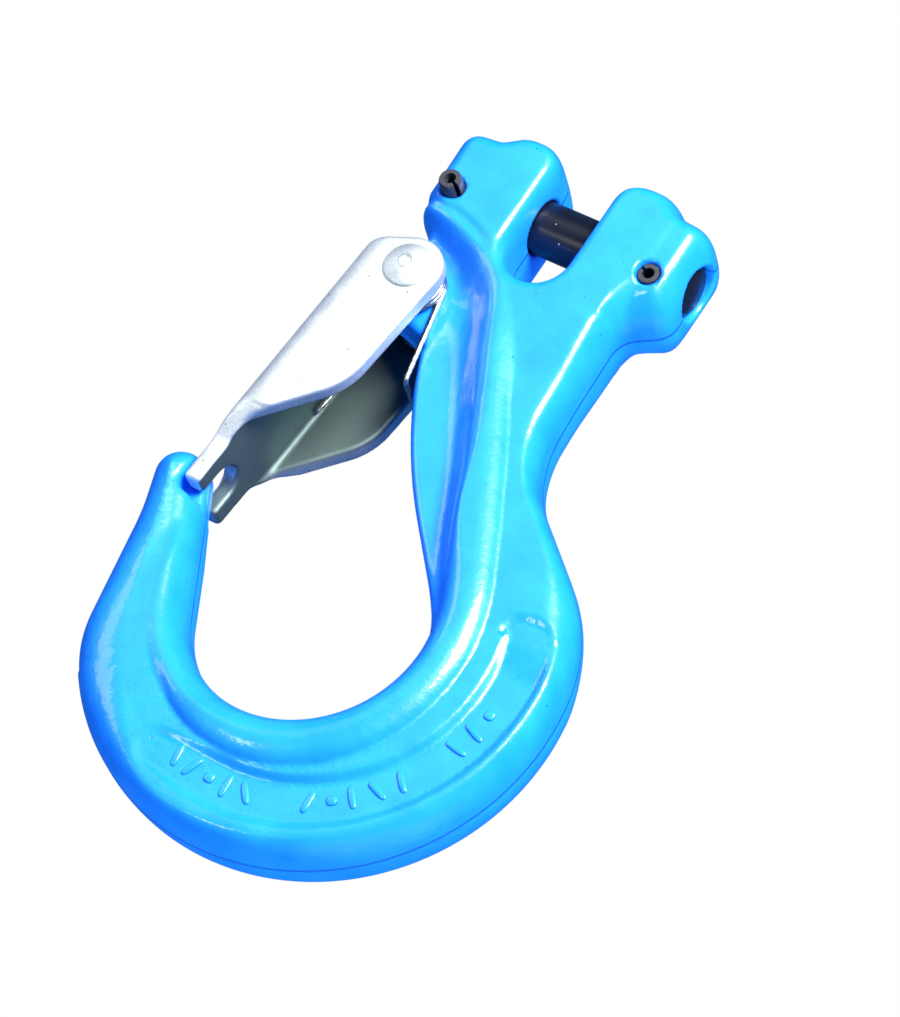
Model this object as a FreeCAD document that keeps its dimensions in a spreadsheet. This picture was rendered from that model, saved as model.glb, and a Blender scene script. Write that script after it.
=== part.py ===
import FreeCAD, Part
import Sketcher
import math
import os

# Clevis sling hook with latch, for 7 mm chain. Frame: origin at the middle of the load pin,
# X along the load pin (bowl side +X, tip side -X), Y across the hook's thickness, Z up the load line.

Vector = FreeCAD.Vector
Y_AXIS = Vector(0, 1, 0)

SIZES = {
    # forging
    "bar_thickness": 18.6,
    "rib_thickness": 8.0,
    "edge_round": 3.8,
    "bowl_outside": 39.2,
    "bowl_shoulder": 29.0,
    "bowl_seat": 19.6,
    "waist": 18.9,
    "ear_lobe": 6.1,
    "recess_depth": 2.0,
    "mark_pocket_depth": 3.0,
    "tip_rib": 5.2,
    "lug_radius": 5.4,
    # load pin and its retaining pins
    "pin_diameter": 9.0,
    "pin_length": 45.0,
    "pin_chamfer": 0.8,
    "pin_bore": 9.1,
    "neck_diameter": 4.4,
    "neck_width": 4.1,
    "retainer_offset": 18.2,
    "retainer_drop": 4.2,
    "retainer_diameter": 3.8,
    "retainer_length": 17.4,
    "retainer_chamfer": 0.4,
    "retainer_hollow": 1.9,
    "retainer_slit": 0.8,
    "retainer_proud": 3.1,
    # latch, rivet and spring
    "latch_width": 22.0,
    "channel_length": 70.0,
    "fork_slot": 6.6,
    "fork_slot_top": 59.5,
    "rivet_x": 15.7,
    "rivet_z": 20.6,
    "rivet_diameter": 6.0,
    "rivet_bore": 6.12,
    "rivet_head": 8.0,
    "rivet_dome": 1.5,
    "rivet_rim": 0.3,
    "wire_diameter": 0.9,
    "coil_radius": 4.6,
    "leg_y": 6.9,
    "arm_y": 4.6,
    "leg_end_x": 23.55,
    "leg_end_z": 42.0,
    "bridge_x": 7.8,
    "bridge_z": 36.0,
    "wire_bend": 1.0,
}

# Outlines are belts around circles: (x, z, radius). A minus radius is a hollow that the outline
# bends around from outside, and a radius of 0 is a corner. The order is counterclockwise.
BAR = [
    (4.3, -77.1, "bowl_outside"),
    (14.35, -75.25, "bowl_shoulder"),
    (36.1, -31.0, "-waist"),
    (21.3, -15.5, -4.5),
    (19.4, -6.5, 4.2),
    (19.4, 4.3, 4.2),
    (17.6, 10.7, -2.0),
    (11.4, 5.2, "ear_lobe"),
    (-11.4, 5.2, "ear_lobe"),
    (-17.6, 10.7, -2.0),
    (-19.4, 4.3, 4.2),
    (-19.2, -6.5, 4.0),
    (-17.0, -27.5, -14.5),
    (0.3, -75.4, "-bowl_seat"),
    (-31.6, -65.6, 4.4),
    (-71.9, -83.3, -39.4),
    (-10.6, -88.8, 20.05),
]
RIB = [
    (-15.7, -20.6, "lug_radius"),
    (-12.1, -30.4, -3.0),
    (73.8, 4.6, 90.0),
    (20.0, -70.0, 0.0),
    (24.0, -60.0, 0.0),
    (10.0, -20.0, 0.0),
    (-10.0, -6.0, 0.0),
    (-18.0, -6.0, 0.0),
]
EAR_SLOT = [
    (0.0, -8.0, 5.3),
    (11.4, 5.2, "-ear_lobe"),
    (11.4, 16.0, 0.0),
    (-11.4, 16.0, 0.0),
    (-11.4, 5.2, "-ear_lobe"),
]
RECESS = [
    (5.0, -76.2, 46.0),
    (48.0, -50.0, 0.0),
    (34.0, -33.0, 0.0),
    (20.0, -33.0, 0.0),
    (20.5, -47.0, 0.0),
    (5.0, -76.2, -27.4),
    (-26.0, -88.0, 0.0),
    (-40.0, -92.0, 0.0),
]
MARK_POCKET = [
    (5.0, -76.2, 35.7),
    (35.5, -66.3, 3.2),
    (33.5, -66.5, 3.2),
    (5.0, -76.2, -27.8),
    (-6.0, -107.5, 3.0),
]
TIP_SCOOP = [
    (-28.1, -67.0, 1.3),
    (-16.0, -69.0, 0.0),
    (-16.0, -56.0, 0.0),
    (-28.8, -56.0, 0.0),
]
LATCH_LEAN = 4.4
LATCH_FACE = (-27.1, 0.0, -42.0)
CHANNEL = [
    (4.0, -7.0, 4.0),
    (24.0, -11.0, 0.0),
    (24.0, -8.0, 0.0),
    (4.0, -7.0, -1.0),
    (4.0, 7.0, -1.0),
    (24.0, 8.0, 0.0),
    (24.0, 11.0, 0.0),
    (4.0, 7.0, 4.0),
]
BLANK_WINDOW = [
    (-60.0, -90.0, 0.0),
    (20.0, -90.0, 0.0),
    (20.0, 10.0, 0.0),
    (-60.0, 10.0, 0.0),
]
LATCH_SIDE = [
    (-34.0, -66.5, 0.0),
    (-24.5, -66.5, 0.0),
    (-20.5, -56.5, -4.0),
    (-24.2, -37.5, 12.0),
    (-15.7, -20.6, 5.6),
    (-34.0, -22.4, 0.0),
]
FORK_FLANK = [
    (7.3, -72.0, 0.0),
    (16.0, -72.0, 0.0),
    (16.0, -52.5, 0.0),
    (11.0, -52.5, 0.0),
    (11.3, -60.0, 4.0),
]


def size(name):
    """A driving dimension by name, with a leading minus kept."""
    if isinstance(name, str):
        sign = -1.0 if name.startswith("-") else 1.0
        return sign * SIZES[name.lstrip("-")]
    return name


def cell(name):
    """The expression for a sheet cell."""
    return "Sizes." + name


def belt(pulleys):
    """Where the straight runs of a belt around the circles start and end."""
    runs = []
    for here, there in zip(pulleys, pulleys[1:] + pulleys[:1]):
        r_here, r_there = size(here[2]), size(there[2])
        dx, dz = there[0] - here[0], there[1] - here[1]
        rise = r_there - r_here
        along = math.sqrt(max(dx * dx + dz * dz - rise * rise, 0.0))
        heading = math.atan2(dz, dx) - math.atan2(rise, along)
        side = (-math.sin(heading), math.cos(heading))
        start = (here[0] - r_here * side[0], here[1] - r_here * side[1])
        end = (there[0] - r_there * side[0], there[1] - r_there * side[1])
        runs.append((start, end, along))
    return runs


def add_sketch(body, name, plane, offset=0.0):
    """A sketch on one of the body's own origin planes."""
    support = [f for f in body.Origin.OriginFeatures if f.Role == plane][0]
    sketch = body.newObject("Sketcher::SketchObject", name)
    sketch.AttachmentSupport = (support, [""])
    sketch.MapMode = "FlatFace"
    sketch.AttachmentOffset = FreeCAD.Placement(Vector(0, 0, offset), FreeCAD.Rotation())
    return sketch


def draw_belt(sketch, pulleys):
    """Draw the belt: arcs and straight runs, tangent to each other, with bound radii."""
    runs = belt(pulleys)
    pieces = []
    for index, (x, z, radius) in enumerate(pulleys):
        reach = size(radius)
        entry, leave = runs[index - 1][1], runs[index][0]
        if reach != 0.0:
            first, last = (entry, leave) if reach > 0 else (leave, entry)
            angles = [math.atan2(p[1] - z, p[0] - x) for p in (first, last)]
            if angles[1] < angles[0]:
                angles[1] += 2 * math.pi
            circle = Part.Circle(Vector(x, z, 0), Vector(0, 0, 1), abs(reach))
            ends = (1, 2) if reach > 0 else (2, 1)
            pieces.append((Part.ArcOfCircle(circle, angles[0], angles[1]), ends, radius))
        if runs[index][2] > 1e-3:
            start, end = [Vector(p[0], p[1], 0) for p in runs[index][:2]]
            pieces.append((Part.LineSegment(start, end), (1, 2), None))
    numbers = sketch.addGeometry([piece[0] for piece in pieces], False)
    links = []
    for index in range(len(pieces)):
        before, after = pieces[index - 1], pieces[index]
        smooth = before[2] is not None or after[2] is not None
        kind = "Tangent" if smooth else "Coincident"
        links.append(Sketcher.Constraint(kind, numbers[index - 1], before[1][1], numbers[index], after[1][0]))
    sketch.addConstraint(links)
    for number, piece in zip(numbers, pieces):
        if isinstance(piece[2], str):
            sketch.addConstraint(Sketcher.Constraint("Radius", number, abs(size(piece[2]))))
            last = sketch.ConstraintCount - 1
            sketch.setExpression("Constraints[%d]" % last, cell(piece[2].lstrip("-")))


def draw_circle(sketch, x, z, diameter_name, x_name=None, z_name=None):
    """A circle whose diameter, and place if named, are bound to the sheet."""
    radius = SIZES[diameter_name] / 2
    number = sketch.addGeometry(Part.Circle(Vector(x, z, 0), Vector(0, 0, 1), radius), False)
    sketch.addConstraint(Sketcher.Constraint("Diameter", number, 2 * radius))
    sketch.setExpression("Constraints[%d]" % (sketch.ConstraintCount - 1), cell(diameter_name))
    for kind, place, name in (("DistanceX", x, x_name), ("DistanceY", z, z_name)):
        if name is None or place == 0.0:
            continue
        order = (number, 3, -1, 1) if place < 0 else (-1, 1, number, 3)
        sketch.addConstraint(Sketcher.Constraint(kind, *order, abs(place)))
        sketch.setExpression("Constraints[%d]" % (sketch.ConstraintCount - 1), cell(name))


def new_body(label):
    body = doc.addObject("PartDesign::Body", label)
    body.Label = label
    return body


def pad(body, sketch, name, length):
    """A pad of the given length, half on each side of its sketch."""
    feature = body.newObject("PartDesign::Pad", name)
    feature.Profile = sketch
    feature.Midplane = True
    feature.setExpression("Length", length)
    doc.recompute()
    return feature


def pocket(body, sketch, name, outward=False, length=None):
    """A pocket through both ways, or from its sketch outward past the face; it must cut something."""
    before = body.Shape.Volume
    feature = body.newObject("PartDesign::Pocket", name)
    feature.Profile = sketch
    if length is None:
        feature.Type = "ThroughAll"
    else:
        feature.setExpression("Length", length)
    feature.Midplane = not outward
    feature.Reversed = outward
    doc.recompute()
    taken = before - body.Shape.Volume
    print("%s: %s takes %.1f mm3 away" % (body.Label, name, taken))
    if taken < 1.0:
        raise RuntimeError("%s cuts nothing" % name)
    return feature


def mirror(body, feature, name):
    """The same feature on the other side of the hook's middle plane."""
    plane = [f for f in body.Origin.OriginFeatures if f.Role == "XZ_Plane"][0]
    mirrored = body.newObject("PartDesign::Mirrored", name)
    mirrored.Originals = [feature]
    mirrored.MirrorPlane = (plane, [""])
    body.Tip = mirrored
    doc.recompute()
    return mirrored


def round_edges(body, name, radius, picks):
    """Round the tip feature's edges that picks(edge) names."""
    base = body.Tip
    names = ["Edge%d" % (i + 1) for i, edge in enumerate(base.Shape.Edges) if picks(edge)]
    feature = body.newObject("PartDesign::Fillet", name)
    feature.Base = (base, names)
    feature.setExpression("Radius", radius)
    doc.recompute()
    print("%s: %s rounds %d edges" % (body.Label, name, len(names)))
    return feature


def in_face(edge, height, tolerance=1e-4):
    """True for an edge that lies in either face at y = +height or -height."""
    box = edge.BoundBox
    return abs(abs(box.YMin) - height) < tolerance and box.YLength < tolerance


def make_hook_body():
    """The forging: a thick bar, a thin rib with the latch lug, recesses, scoops and bores."""
    body = new_body("hook_body")
    bar = add_sketch(body, "bar_outline", "XZ_Plane")
    draw_belt(bar, BAR)
    pad(body, bar, "bar", cell("bar_thickness"))
    half = SIZES["bar_thickness"] / 2
    round_edges(body, "bar_round", cell("edge_round"), lambda edge: in_face(edge, half))

    slot = add_sketch(body, "ear_slot_outline", "XZ_Plane")
    draw_belt(slot, EAR_SLOT)
    pocket(body, slot, "ear_slot")

    reliefs = [("recess", RECESS, "recess_depth"), ("mark_pocket", MARK_POCKET, "mark_pocket_depth")]
    for name, outline, depth in reliefs:
        sketch = add_sketch(body, name + "_outline", "XZ_Plane", half - SIZES[depth])
        sketch.setExpression("AttachmentOffset.Base.z", "%s / 2 - %s" % (cell("bar_thickness"), cell(depth)))
        draw_belt(sketch, outline)
        cut = pocket(body, sketch, name, outward=True, length=cell("bar_thickness"))
        mirror(body, cut, name + "_back")

    scoop = add_sketch(body, "tip_scoop_outline", "XZ_Plane", SIZES["tip_rib"] / 2)
    scoop.setExpression("AttachmentOffset.Base.z", cell("tip_rib") + " / 2")
    draw_belt(scoop, TIP_SCOOP)
    cut = pocket(body, scoop, "tip_scoop", outward=True, length=cell("bar_thickness"))
    mirror(body, cut, "tip_scoop_back")

    rib = add_sketch(body, "rib_outline", "XZ_Plane")
    draw_belt(rib, RIB)
    pad(body, rib, "rib", cell("rib_thickness"))

    bore = add_sketch(body, "pin_bore_outline", "YZ_Plane")
    draw_circle(bore, 0.0, 0.0, "pin_bore")
    pocket(body, bore, "pin_bore")

    holes = add_sketch(body, "cross_hole_outlines", "XZ_Plane")
    for side in (-1, 1):
        draw_circle(holes, side * SIZES["retainer_offset"], -SIZES["retainer_drop"], "retainer_diameter",
                    "retainer_offset", "retainer_drop")
    draw_circle(holes, -SIZES["rivet_x"], -SIZES["rivet_z"], "rivet_bore", "rivet_x", "rivet_z")
    pocket(body, holes, "cross_holes")
    return body


def make_load_pin():
    """A round pin with a turned neck near each end, where the retaining pins pass."""
    body = new_body("load_pin_shaft")
    section = add_sketch(body, "section", "YZ_Plane")
    draw_circle(section, 0.0, 0.0, "pin_diameter")
    shaft = pad(body, section, "shaft", cell("pin_length"))
    edges = ["Edge%d" % (i + 1) for i, edge in enumerate(shaft.Shape.Edges) if edge.BoundBox.XLength < 1e-4]
    chamfer = body.newObject("PartDesign::Chamfer", "end_chamfers")
    chamfer.Base = (shaft, edges)
    chamfer.setExpression("Size", cell("pin_chamfer"))
    doc.recompute()
    return body


def neck_ring(side):
    """The ring of metal that the lathe takes away for one neck."""
    outer = doc.addObject("Part::Cylinder", "neck_outer")
    inner = doc.addObject("Part::Cylinder", "neck_inner")
    outer.setExpression("Radius", cell("pin_diameter"))
    inner.setExpression("Radius", cell("neck_diameter") + " / 2")
    for cylinder in (outer, inner):
        cylinder.setExpression("Height", cell("neck_width"))
        cylinder.Placement = FreeCAD.Placement(Vector(), FreeCAD.Rotation(Y_AXIS, 90))
        sign = "" if side > 0 else "-"
        place = "%s%s - %s / 2" % (sign, cell("retainer_offset"), cell("neck_width"))
        cylinder.setExpression("Placement.Base.x", place)
    ring = doc.addObject("Part::Cut", "neck_ring")
    ring.Base = outer
    ring.Tool = inner
    return ring


def cut_necks(shaft):
    """The finished load pin: the shaft less its two neck rings."""
    rings = doc.addObject("Part::MultiFuse", "neck_rings")
    rings.Shapes = [neck_ring(-1), neck_ring(1)]
    pin = doc.addObject("Part::Cut", "load_pin_turned")
    pin.Base = shaft
    pin.Tool = rings
    pin.Label = "load_pin"
    return pin


def make_retaining_pin(label, side, proud):
    """A spring pin: a tube with a slit along it and a chamfer at each end."""
    outer = doc.addObject("Part::Cylinder", label + "_outer")
    outer.setExpression("Radius", cell("retainer_diameter") + " / 2")
    outer.setExpression("Height", cell("retainer_length"))
    eased = doc.addObject("Part::Chamfer", label + "_eased")
    eased.Base = outer
    doc.recompute()
    ends = [i + 1 for i, edge in enumerate(outer.Shape.Edges) if edge.BoundBox.ZLength < 1e-4]
    ease = SIZES["retainer_chamfer"]
    eased.Edges = [(number, ease, ease) for number in ends]
    hollow = doc.addObject("Part::Cylinder", label + "_hollow")
    hollow.setExpression("Radius", cell("retainer_hollow") + " / 2")
    hollow.setExpression("Height", cell("retainer_length"))
    slit = doc.addObject("Part::Box", label + "_slit")
    slit.setExpression("Length", cell("retainer_slit"))
    slit.setExpression("Width", cell("retainer_diameter"))
    slit.setExpression("Height", cell("retainer_length"))
    slit.setExpression("Placement.Base.x", "-%s / 2" % cell("retainer_slit"))
    slit.setExpression("Placement.Base.y", "-%s" % cell("retainer_diameter"))
    waste = doc.addObject("Part::MultiFuse", label + "_waste")
    waste.Shapes = [hollow, slit]
    pin = doc.addObject("Part::Cut", label + "_pin")
    pin.Base = eased
    pin.Tool = waste
    pin.Label = label
    pin.Placement = FreeCAD.Placement(Vector(), FreeCAD.Rotation(Vector(1, 0, 0), -90))
    sign = "" if side > 0 else "-"
    pin.setExpression("Placement.Base.x", sign + cell("retainer_offset"))
    pin.setExpression("Placement.Base.z", "-" + cell("retainer_drop"))
    pin.setExpression("Placement.Base.y", "-%s / 2 - %s" % (cell("retainer_length"), proud))
    return pin


def make_latch():
    """The latch: a folded channel, leaning out, trimmed to its side outline and forked below."""
    body = new_body("latch")
    section = add_sketch(body, "channel_section", "XY_Plane")
    lean = FreeCAD.Rotation(Y_AXIS, LATCH_LEAN)
    section.AttachmentOffset = FreeCAD.Placement(Vector(*LATCH_FACE), lean)
    draw_belt(section, CHANNEL)
    pad(body, section, "channel", cell("channel_length"))

    side = add_sketch(body, "side_outline", "XZ_Plane")
    draw_belt(side, BLANK_WINDOW)
    draw_belt(side, LATCH_SIDE)
    pocket(body, side, "side_trim")

    flank = add_sketch(body, "fork_flank_outline", "YZ_Plane")
    draw_belt(flank, FORK_FLANK)
    cut = pocket(body, flank, "fork_flank")
    mirror(body, cut, "fork_flank_back")

    notch = add_sketch(body, "fork_notch_outline", "YZ_Plane")
    half = SIZES["fork_slot"] / 2
    round_z = -SIZES["fork_slot_top"] - half
    below = round_z - SIZES["latch_width"] / 2
    draw_belt(notch, [(half, below, 0.0), (0.0, round_z, half), (-half, below, 0.0)])
    pocket(body, notch, "fork_notch")

    hole = add_sketch(body, "rivet_hole_outline", "XZ_Plane")
    draw_circle(hole, -SIZES["rivet_x"], -SIZES["rivet_z"], "rivet_diameter", "rivet_x", "rivet_z")
    pocket(body, hole, "rivet_hole")
    return body


def make_rivet():
    """A shank with a domed head at each end, turned about its own axis."""
    body = new_body("latch_rivet")
    profile = add_sketch(body, "half_section", "XZ_Plane")
    shank = SIZES["rivet_diameter"] / 2
    head = SIZES["rivet_head"] / 2
    dome = SIZES["rivet_dome"]
    reach = SIZES["latch_width"] / 2
    rim = SIZES["rivet_rim"]
    crown = Vector(0, reach + dome, 0)
    points = [Vector(0, -reach - dome, 0), Vector(0, reach + dome, 0), Vector(head, reach + rim, 0),
              Vector(head, reach, 0), Vector(shank, reach, 0), Vector(shank, -reach, 0),
              Vector(head, -reach, 0), Vector(head, -reach - rim, 0)]

    def dome_arc(sign):
        edge = Vector(head, sign * (reach + rim), 0)
        top = Vector(0, sign * crown.y, 0)
        rise = dome - rim
        radius = (head * head + rise * rise) / (2 * rise)
        half_angle = math.asin(head / radius) / 2
        middle_y = crown.y - radius * (1 - math.cos(half_angle))
        middle = Vector(radius * math.sin(half_angle), sign * middle_y, 0)
        return Part.Arc(edge, middle, top)
    lines = [Part.LineSegment(points[0], points[1])]
    lines += [Part.LineSegment(points[i], points[i + 1]) for i in range(2, 7)]
    arcs = [dome_arc(1), dome_arc(-1)]
    profile.addGeometry(lines + arcs, False)
    revolution = body.newObject("PartDesign::Revolution", "turned")
    revolution.Profile = profile
    revolution.ReferenceAxis = (profile, ["V_Axis"])
    revolution.Angle = 360
    doc.recompute()
    body.Placement = FreeCAD.Placement(Vector(), FreeCAD.Rotation(Vector(1, 0, 0), 90))
    body.setExpression("Placement.Base.x", "-" + cell("rivet_x"))
    body.setExpression("Placement.Base.z", "-" + cell("rivet_z"))
    return body


def tangent_point(x, z, from_x, from_z, radius, side):
    """Where a line from a point touches the circle round (x, z); side picks one of the two."""
    dx, dz = from_x - x, from_z - z
    angle = math.atan2(dz, dx) + side * math.acos(radius / math.hypot(dx, dz))
    return x + radius * math.cos(angle), z + radius * math.sin(angle), angle


def rod(start, end, radius):
    """A round rod from one point to the other."""
    run = end - start
    return Part.makeCylinder(radius, run.Length, start, run)


def make_spring():
    """A double torsion spring: two legs on the latch, two coils on the rivet, a bridge on the rib."""
    wire = SIZES["wire_diameter"] / 2
    coil = SIZES["coil_radius"]
    x, z = -SIZES["rivet_x"], -SIZES["rivet_z"]
    leg_y, arm_y = -SIZES["leg_y"], -SIZES["arm_y"]
    leg_x, leg_z = -SIZES["leg_end_x"], -SIZES["leg_end_z"]
    bridge_x, bridge_z = -SIZES["bridge_x"], -SIZES["bridge_z"]
    bend = SIZES["wire_bend"]

    left_x, left_z, left_angle = tangent_point(x, z, leg_x, leg_z, coil, -1)
    right_x, right_z, right_angle = tangent_point(x, z, bridge_x, bridge_z, coil, 1)
    turns = 2 + ((left_angle - right_angle) % (2 * math.pi)) / (2 * math.pi)
    pitch = (arm_y - leg_y) / turns

    knuckle = Vector(left_x, leg_y, left_z)
    top = Vector(right_x, arm_y, right_z)
    foot = Vector(bridge_x, arm_y, bridge_z)
    along = (foot - top).normalize()
    bend_start = foot - along * bend
    bend_end = foot + Y_AXIS * bend
    centre = bend_start + Y_AXIS * bend
    bend_middle = centre + (foot - centre).normalize() * bend

    helix = Part.makeHelix(pitch, arm_y - leg_y, coil, 0, False)
    section = Part.Wire(Part.makeCircle(wire, Vector(coil, 0, 0), Y_AXIS))
    turned = Part.Wire(helix.Edges).makePipeShell([section], True, True)
    out = Vector(math.cos(left_angle), 0, math.sin(left_angle))
    turned.Placement = FreeCAD.Placement(
        Vector(x, leg_y, z), FreeCAD.Rotation(out, Y_AXIS.cross(out), Y_AXIS, "ZXY"))
    bend_path = Part.Wire(Part.Arc(bend_start, bend_middle, bend_end).toShape())
    elbow = bend_path.makePipeShell([Part.Wire(Part.makeCircle(wire, bend_start, along))], True, False)

    half = [
        rod(Vector(leg_x, leg_y, leg_z), knuckle, wire),
        Part.makeSphere(wire, knuckle),
        turned,
        Part.makeSphere(wire, top),
        rod(top, bend_start, wire),
        elbow,
    ]
    other = [piece.mirror(Vector(0, 0, 0), Y_AXIS) for piece in half]
    bridge = rod(bend_end, Vector(bend_end.x, -bend_end.y, bend_end.z), wire)
    feature = doc.addObject("Part::Feature", "latch_spring")
    feature.Shape = bridge.multiFuse(half + other)
    feature.Label = "latch_spring"
    length = feature.Shape.Volume / (math.pi * wire * wire)
    print("spring: %.2f turns each side, pitch %.2f, %.0f mm of wire" % (turns, pitch, length))
    return feature


doc = FreeCAD.newDocument("clevis_hook")
sheet = doc.addObject("Spreadsheet::Sheet", "Sizes")
for row, (alias, value) in enumerate(SIZES.items(), start=1):
    sheet.set("A%d" % row, alias)
    sheet.set("B%d" % row, str(value))
    sheet.setAlias("B%d" % row, alias)
doc.recompute()
os.makedirs("parts", exist_ok=True)

parts = [
    make_hook_body(),
    cut_necks(make_load_pin()),
    make_retaining_pin("retaining_pin_left", -1, cell("retainer_proud")),
    make_retaining_pin("retaining_pin_right", 1, "0"),
    make_latch(),
    make_rivet(),
    make_spring(),
]
doc.recompute()
for item in doc.Objects:
    if "Invalid" in item.State or "Error" in item.State:
        raise RuntimeError("%s did not compute: %s" % (item.Label, item.State))
for part in parts:
    shape = part.Shape
    if shape.isNull() or not shape.isValid():
        raise RuntimeError(part.Label + " has no valid shape")
    print("%-20s %9.1f mm3 %s solids %d" % (part.Label, shape.Volume, shape.BoundBox, len(shape.Solids)))
for part in parts:
    part.Shape.exportStep("parts/%s.step" % part.Label)
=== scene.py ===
# %% [markdown]
# # A clevis sling hook with a spring latch
#
# The imported CAD model is the frame: every pin, bore and axis is already in its place. This script hides
# the CAD pieces and builds new ones in their places: the forging, the pressed latch and the bent spring wire
# get the shapes that a CAD sketch has no patience for, and the pins and the rivet are made anew.

# %% Load the frame
import bpy
import numpy as np
from mathutils import Matrix


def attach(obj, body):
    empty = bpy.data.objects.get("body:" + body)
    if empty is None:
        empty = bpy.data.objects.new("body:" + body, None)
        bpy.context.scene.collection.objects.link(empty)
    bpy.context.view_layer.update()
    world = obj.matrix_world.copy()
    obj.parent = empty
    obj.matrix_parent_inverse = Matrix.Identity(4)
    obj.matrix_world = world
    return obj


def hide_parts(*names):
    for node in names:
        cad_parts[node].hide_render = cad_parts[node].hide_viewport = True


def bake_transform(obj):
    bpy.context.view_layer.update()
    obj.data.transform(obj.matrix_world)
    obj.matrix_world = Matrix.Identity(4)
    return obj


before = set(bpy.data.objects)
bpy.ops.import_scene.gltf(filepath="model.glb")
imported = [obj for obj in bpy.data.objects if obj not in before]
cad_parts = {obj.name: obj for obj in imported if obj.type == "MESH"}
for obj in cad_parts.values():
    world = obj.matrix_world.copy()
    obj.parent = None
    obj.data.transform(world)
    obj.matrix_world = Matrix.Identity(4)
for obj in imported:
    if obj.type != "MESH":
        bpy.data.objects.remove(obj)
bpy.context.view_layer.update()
MM = 0.001
print("nodes:", sorted(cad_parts))

# %% [markdown]
# ## The camera
#
# The hook is seen from below and from the right, with a long lens, so that its parallel edges stay nearly
# parallel. The camera is placed by a direction and a distance from the load pin, and it is rolled so that
# the hook leans across the picture.

# %% Camera
VIEW_FROM = np.array([0.4099, -0.8198, -0.3999])
VIEW_UP = np.array([-0.3608, -0.5484, 0.7544])
DISTANCE = 0.65
AIM = np.array([0.00876, 0.0, -0.05013])
LENS_MM = 144.96


def aim_camera(place, target, up):
    """A rotation whose -Z looks from place to target, with +Y as near to up as it can be."""
    back = (place - target) / np.linalg.norm(place - target)
    right = np.cross(up, back)
    right = right / np.linalg.norm(right)
    return np.column_stack([right, np.cross(back, right), back])


camera_data = bpy.data.cameras.new("camera")
camera_data.lens = LENS_MM
camera_data.clip_start = 0.01
camera = bpy.data.objects.new("camera", camera_data)
bpy.context.scene.collection.objects.link(camera)
turn = np.eye(4)
camera_place = DISTANCE * VIEW_FROM
turn[:3, :3] = aim_camera(camera_place, AIM, VIEW_UP)
turn[:3, 3] = camera_place
camera.matrix_world = Matrix(turn.tolist())
bpy.context.scene.camera = camera
print("camera at", np.round(camera_place, 4))

# %% [markdown]
# ## Helpers for colour, nodes and meshes
#
# Colours are written as sRGB hex and turned into linear light once. One helper adds a shader node and sets
# its plain values. One helper turns whole arrays of points and faces into a mesh object, and one gives the
# faces of any closed surface that is made of rings: a turned pin, a wire, a raised pad or a dome.

# %% Colour, node and mesh helpers


def linear(hex_colour):
    """sRGB hex to a linear RGBA tuple."""
    srgb = np.array([int(hex_colour[i:i + 2], 16) for i in (1, 3, 5)]) / 255
    rgb = np.where(srgb <= 0.04045, srgb / 12.92, ((srgb + 0.055) / 1.055) ** 2.4)
    return (*rgb.tolist(), 1.0)


def add_node(tree, kind, inputs=None, **settings):
    """Adds one shader node. Each input is a plain value, or an output socket to link from."""
    node = tree.nodes.new("ShaderNode" + kind)
    for key, value in settings.items():
        setattr(node, key, value)
    for key, value in (inputs or {}).items():
        if isinstance(value, bpy.types.NodeSocket):
            tree.links.new(value, node.inputs[key])
        else:
            node.inputs[key].default_value = value
    return node


def new_material(name):
    """An empty node material, with its tree and its output node."""
    material = bpy.data.materials.new(name)
    material.use_nodes = True
    material.node_tree.nodes.clear()
    return material, material.node_tree, add_node(material.node_tree, "OutputMaterial")


def new_mesh(name, points_mm, faces, normals=None, crisp=None):
    """A mesh object from points in mm and faces. Edges that turn more than crisp degrees stay sharp."""
    mesh = bpy.data.meshes.new(name)
    mesh.from_pydata((np.asarray(points_mm) * MM).tolist(), [], faces)
    mesh.update()
    mesh.polygons.foreach_set("use_smooth", np.ones(len(mesh.polygons), bool))
    if normals is not None:
        mesh.normals_split_custom_set_from_vertices(normals.tolist())
    if crisp is not None:
        mesh.set_sharp_from_angle(angle=np.radians(crisp))
    piece = bpy.data.objects.new(name, mesh)
    bpy.context.scene.collection.objects.link(piece)
    return piece


def ring_faces(rings, spokes, turned=False):
    """Quads between the rings and a fan at each pole. The points come ring by ring, then the two poles."""
    here = np.arange(spokes)
    beside = (here + 1) % spokes
    start = np.arange(rings - 1)[:, None] * spokes
    quads = np.stack([start + here, start + beside, start + spokes + beside, start + spokes + here], -1)
    end = (rings - 1) * spokes
    first_pole = rings * spokes
    fans = np.vstack([
        np.stack([beside, here, np.full(spokes, first_pole)], 1),
        np.stack([end + here, end + beside, np.full(spokes, first_pole + 1)], 1),
    ])
    order = -1 if turned else 1
    return quads.reshape(-1, 4)[:, ::order].tolist() + fans[:, ::order].tolist()


# %% [markdown]
# ## The outlines of the forging
#
# A forging die is milled with round cutters, so each outline is a belt pulled tight round circles. Going
# anticlockwise, a circle with a plus radius is a convex corner, and one with a minus radius is a hollow.
# Every outline gives a signed distance: how far a point in the XZ plane is outside the belt, in mm.

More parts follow.
